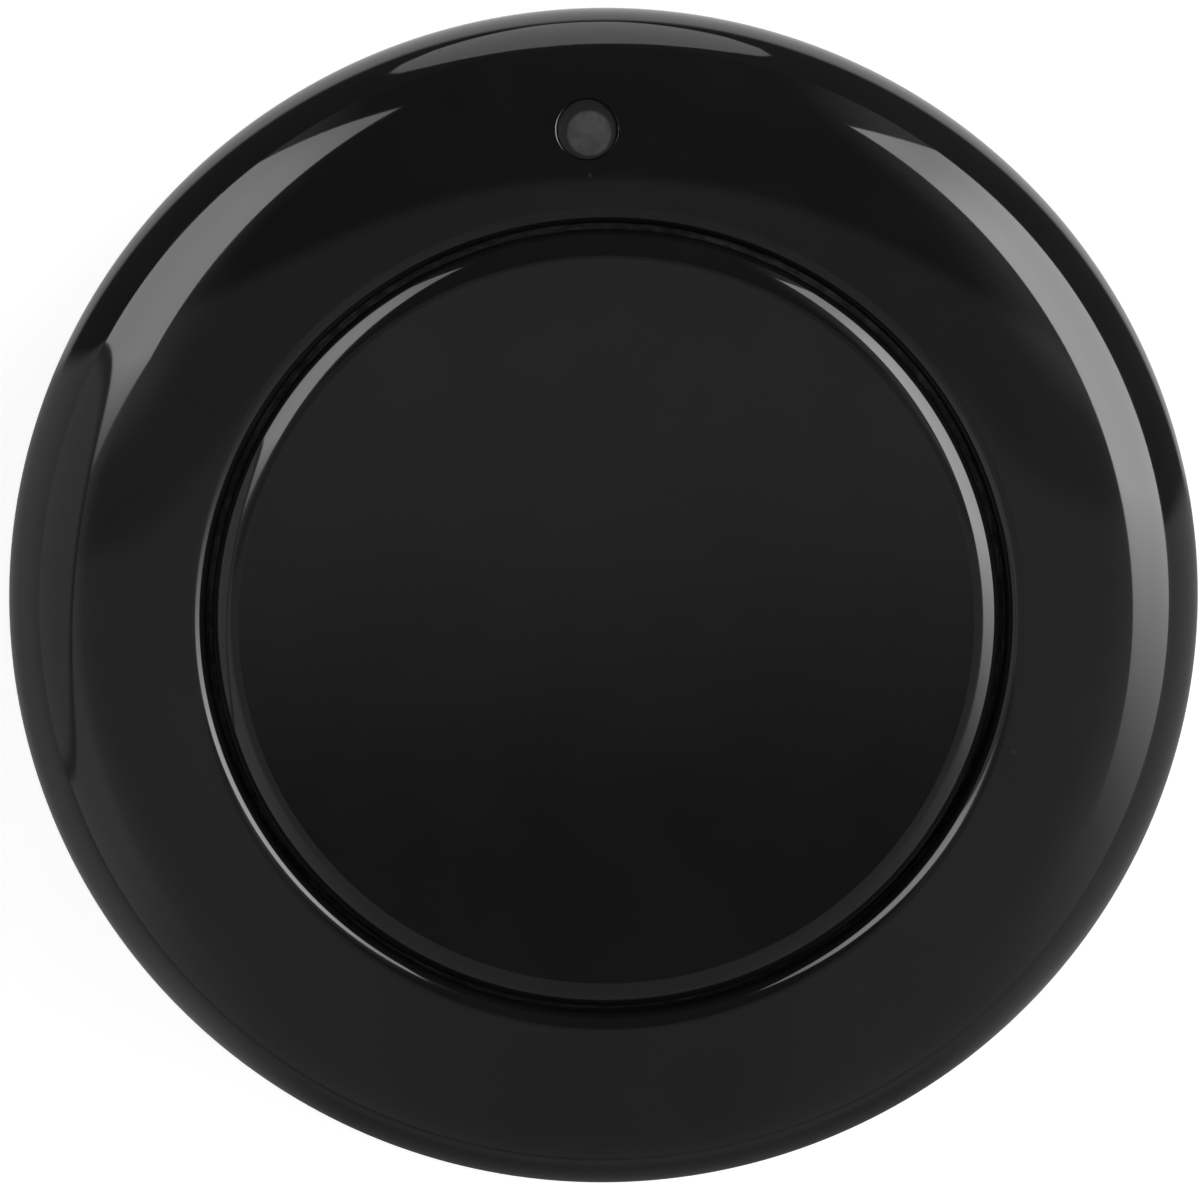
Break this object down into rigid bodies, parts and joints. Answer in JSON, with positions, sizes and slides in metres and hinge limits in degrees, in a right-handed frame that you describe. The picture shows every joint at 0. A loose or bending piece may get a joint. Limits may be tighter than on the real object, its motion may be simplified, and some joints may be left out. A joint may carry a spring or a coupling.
{
  "type": "one-button remote control",
  "caption": "Round glossy black radio remote with one large press button set in a domed ring, a small indicator light beside it and a twist-off cell door in its flat back.",
  "frame": {"origin": "centre of the flat back face", "axes": "+Z along the button's axis, out of the front; +Y from the middle towards the indicator light"},
  "size_m": [0.06, 0.06, 0.015],
  "materials": {
    "gloss_black": "polished",
    "satin_black": "fine satin",
    "zinc_steel": "zinc plated",
    "green_laminate": "solder mask",
    "bare_copper": "bare copper",
    "black_resin": "moulded",
    "tinned_steel": "tinned",
    "frosted_lens": "frosted",
    "nickel_steel": "nickel plated",
    "seal_plastic": "moulded",
    "spring_bronze": "bright",
    "pale_ceramic": "fired",
    "tan_ceramic": "fired",
    "grey_ferrite": "fired"
  },
  "bodies": {
    "case": {"front_shell": "gloss_black", "rear_shell": "satin_black", "case_screws": "zinc_steel", "circuit_board": "green_laminate", "printed_aerial": "bare_copper", "switch_base": "black_resin", "switch_cover": "tinned_steel", "switch_snap_dome": "tinned_steel", "switch_feet": "tinned_steel", "light_lens": "frosted_lens", "light_leads": "tinned_steel", "cell_can": "nickel_steel", "cell_ring": "seal_plastic", "cell_lid": "nickel_steel", "positive_contact": "spring_bronze", "negative_contact": "spring_bronze", "code_chip": "black_resin", "code_chip_pins": "tinned_steel", "radio_resonator": "pale_ceramic", "resonator_lid": "spring_bronze", "radio_transistor": "black_resin", "transistor_pins": "tinned_steel", "capacitor_bodies": "tan_ceramic", "capacitor_ends": "tinned_steel", "resistor_bodies": "black_resin", "resistor_ends": "tinned_steel", "chip_coils": "grey_ferrite"},
    "button": {"button_cap": "gloss_black"},
    "stem": {"switch_stem": "black_resin"},
    "door": {"battery_door": "satin_black"}
  },
  "joints": [
    {"name": "button_press", "type": "slide", "parent": "case", "child": "button", "axis": [0, 0, -1], "range_m": [0, 0.0004], "stiffness_N_per_m": 5000, "springref_m": -0.0001},
    {"name": "stem_press", "type": "slide", "parent": "case", "child": "stem", "axis": [0, 0, -1], "range_m": [0, 0.0004], "deforming": ["switch_snap_dome"]},
    {"name": "door_twist", "type": "hinge", "parent": "case", "child": "door", "pos_m": [0, 0, 0.001], "axis": [0, 0, -1], "range_deg": [0, 40]}
  ],
  "couplings": [
    {"joint": "stem_press", "follows": "button_press", "ratio": 1}
  ]
}
